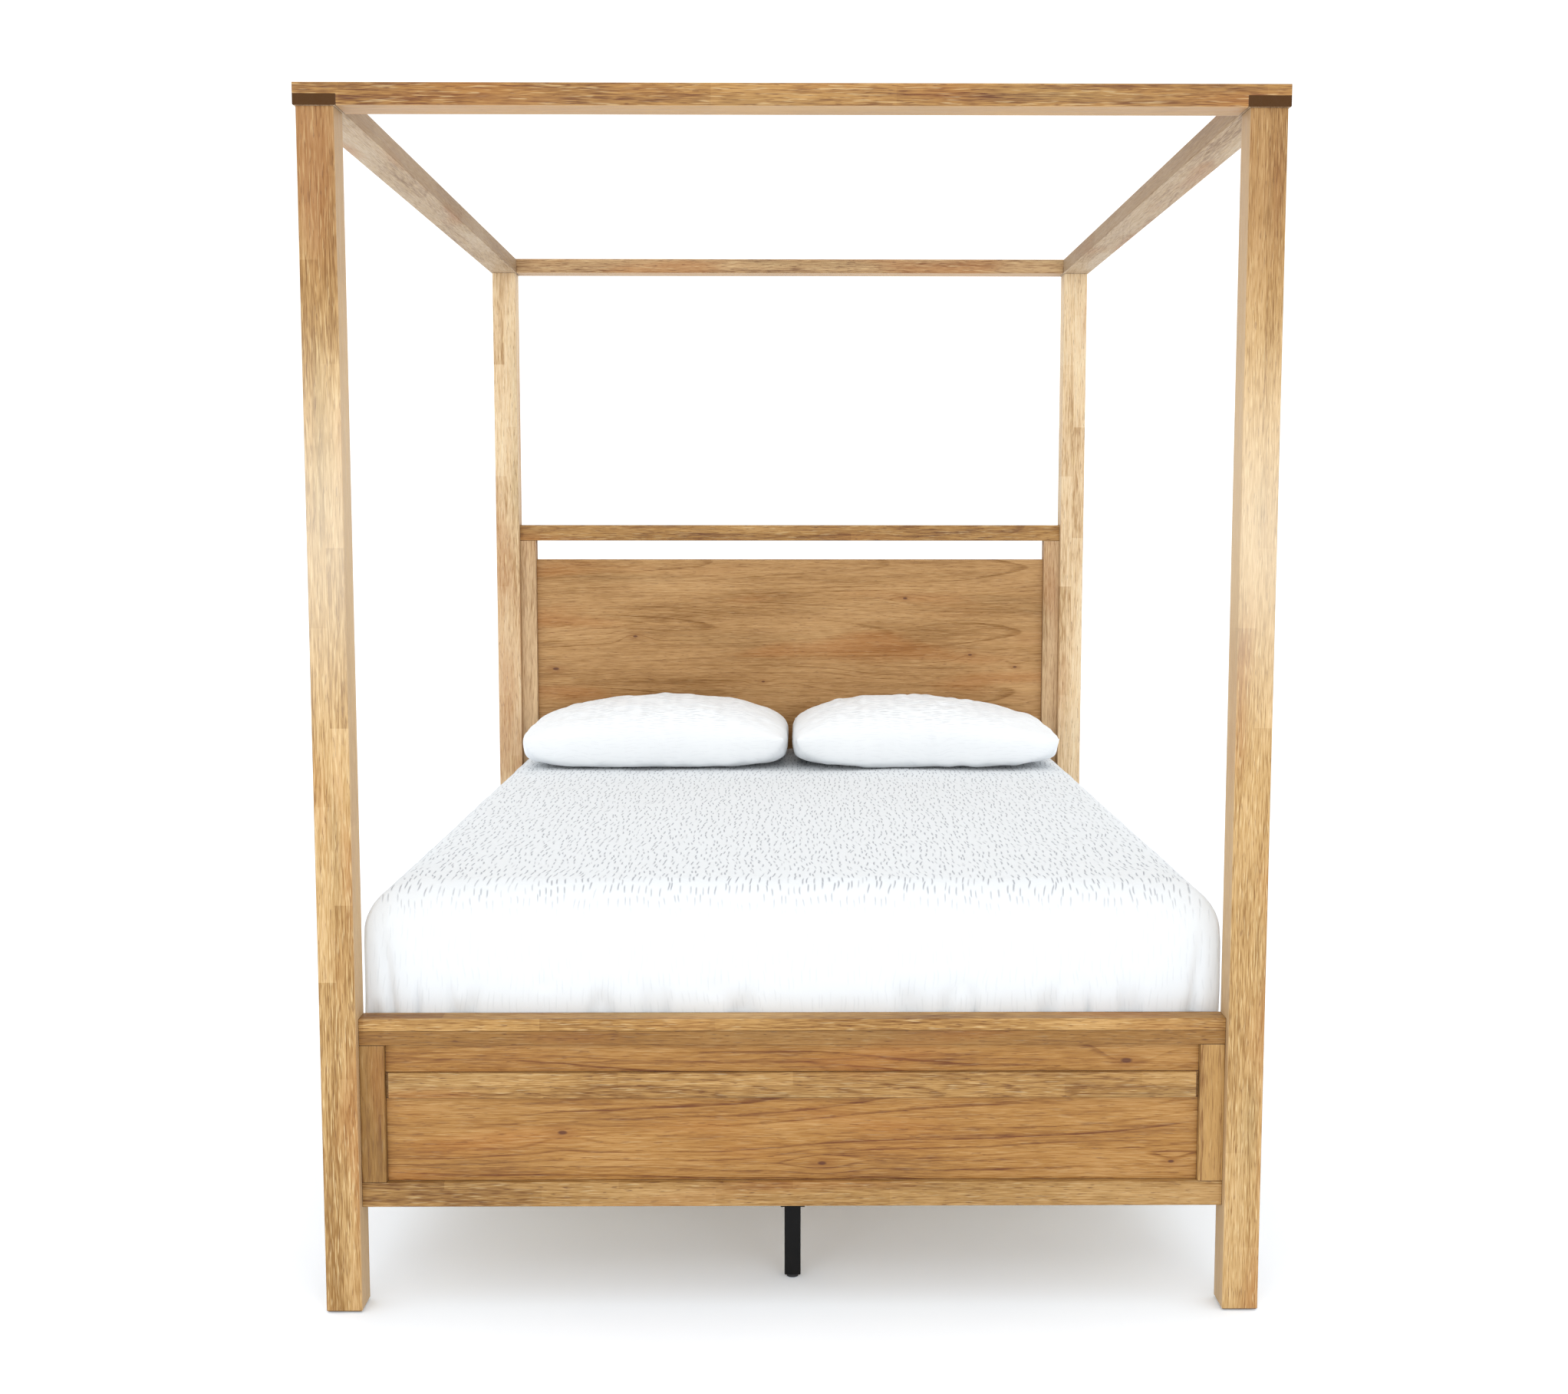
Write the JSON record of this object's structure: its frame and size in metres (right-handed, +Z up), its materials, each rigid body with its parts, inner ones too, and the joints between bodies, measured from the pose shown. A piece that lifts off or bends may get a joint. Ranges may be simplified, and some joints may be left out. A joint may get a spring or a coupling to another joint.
{
  "type": "four poster canopy bed",
  "caption": "Four poster bed in brushed oak with an open canopy frame, panelled headboard and footboard, centre beam on levelling legs, mattress, coverlet and pillows.",
  "frame": {"origin": "centre of the footprint, on the floor", "axes": "+Z up, +Y towards the headboard, +X to the right for somebody who looks at the bed from its foot"},
  "size_m": [1.668, 2.172, 2.13],
  "materials": {
    "post_oak": "matte",
    "canopy_oak": "matte",
    "frame_oak": "matte",
    "panel_oak": "matte",
    "pine": "matte",
    "beech": "matte",
    "zinc_steel": "satin",
    "black_steel": "satin",
    "black_plastic": "matte",
    "ticking": "matte",
    "coverlet_cotton": "matte",
    "pillow_cotton": "matte"
  },
  "bodies": {
    "frame": {"front_left_post": "post_oak", "front_right_post": "post_oak", "rear_left_post": "post_oak", "rear_right_post": "post_oak", "canopy_front_rail": "canopy_oak", "canopy_rear_rail": "canopy_oak", "canopy_left_rail": "canopy_oak", "canopy_right_rail": "canopy_oak", "headboard_top_rail": "frame_oak", "headboard_bottom_rail": "frame_oak", "headboard_left_stile": "frame_oak", "headboard_right_stile": "frame_oak", "rear_stretcher": "frame_oak", "footboard_cap": "frame_oak", "footboard_top_rail": "frame_oak", "footboard_bottom_rail": "frame_oak", "footboard_left_stile": "frame_oak", "footboard_right_stile": "frame_oak", "footboard_batten": "frame_oak", "left_side_rail": "frame_oak", "right_side_rail": "frame_oak", "headboard_panel": "panel_oak", "footboard_panel": "panel_oak", "left_slat_ledge": "pine", "right_slat_ledge": "pine", "centre_beam": "pine", "slat_1": "pine", "slat_2": "pine", "slat_3": "pine", "slat_4": "pine", "slat_5": "pine", "slat_6": "pine", "slat_7": "pine", "slat_8": "pine", "slat_9": "pine", "frame_dowels": "beech", "canopy_bolts": "zinc_steel", "canopy_inserts": "zinc_steel", "rail_hook_plates": "zinc_steel", "post_slot_plates": "zinc_steel", "frame_screws": "zinc_steel", "slat_screws": "zinc_steel", "beam_hangers": "black_steel", "front_centre_leg": "black_steel", "middle_centre_leg": "black_steel", "rear_centre_leg": "black_steel", "leg_plugs": "black_plastic", "post_glides": "black_plastic"},
    "front_foot": {"front_foot_pad": "black_plastic"},
    "front_screw": {"front_foot_stem": "zinc_steel"},
    "middle_foot": {"middle_foot_pad": "black_plastic"},
    "middle_screw": {"middle_foot_stem": "zinc_steel"},
    "rear_foot": {"rear_foot_pad": "black_plastic"},
    "rear_screw": {"rear_foot_stem": "zinc_steel"},
    "foundation": {"foundation": "ticking"},
    "mattress": {"mattress": "ticking", "coverlet": "coverlet_cotton"},
    "left_pillow": {"left_pillow": "pillow_cotton"},
    "right_pillow": {"right_pillow": "pillow_cotton"}
  },
  "joints": [
    {"name": "front_foot_travel", "type": "slide", "parent": "frame", "child": "front_foot", "axis": [0, 0, -1], "range_m": [-0.0015, 0.015]},
    {"name": "front_foot_turn", "type": "hinge", "parent": "front_foot", "child": "front_screw", "pos_m": [0, -0.917, 0.02], "axis": [0, 0, -1], "range_deg": [-432.1, 4320.1]},
    {"name": "middle_foot_travel", "type": "slide", "parent": "frame", "child": "middle_foot", "axis": [0, 0, -1], "range_m": [-0.0015, 0.015]},
    {"name": "middle_foot_turn", "type": "hinge", "parent": "middle_foot", "child": "middle_screw", "pos_m": [0, 0, 0.02], "axis": [0, 0, -1], "range_deg": [-432.1, 4320.1]},
    {"name": "rear_foot_travel", "type": "slide", "parent": "frame", "child": "rear_foot", "axis": [0, 0, -1], "range_m": [-0.0015, 0.015]},
    {"name": "rear_foot_turn", "type": "hinge", "parent": "rear_foot", "child": "rear_screw", "pos_m": [0, 0.917, 0.02], "axis": [0, 0, -1], "range_deg": [-432.1, 4320.1]},
    {"name": "foundation_lift", "type": "slide", "parent": "frame", "child": "foundation", "axis": [0, 0, 1], "range_m": [0, 0.3]},
    {"name": "mattress_lift", "type": "slide", "parent": "foundation", "child": "mattress", "axis": [0, 0, 1], "range_m": [0, 0.4]},
    {"name": "left_pillow_lift", "type": "slide", "parent": "mattress", "child": "left_pillow", "axis": [0, 0, 1], "range_m": [0, 0.4]},
    {"name": "right_pillow_lift", "type": "slide", "parent": "mattress", "child": "right_pillow", "axis": [0, 0, 1], "range_m": [0, 0.4]}
  ],
  "couplings": [
    {"joint": "front_foot_turn", "follows": "front_foot_travel", "rad_per_m": 5026.5},
    {"joint": "middle_foot_turn", "follows": "middle_foot_travel", "rad_per_m": 5026.5},
    {"joint": "rear_foot_turn", "follows": "rear_foot_travel", "rad_per_m": 5026.5}
  ]
}
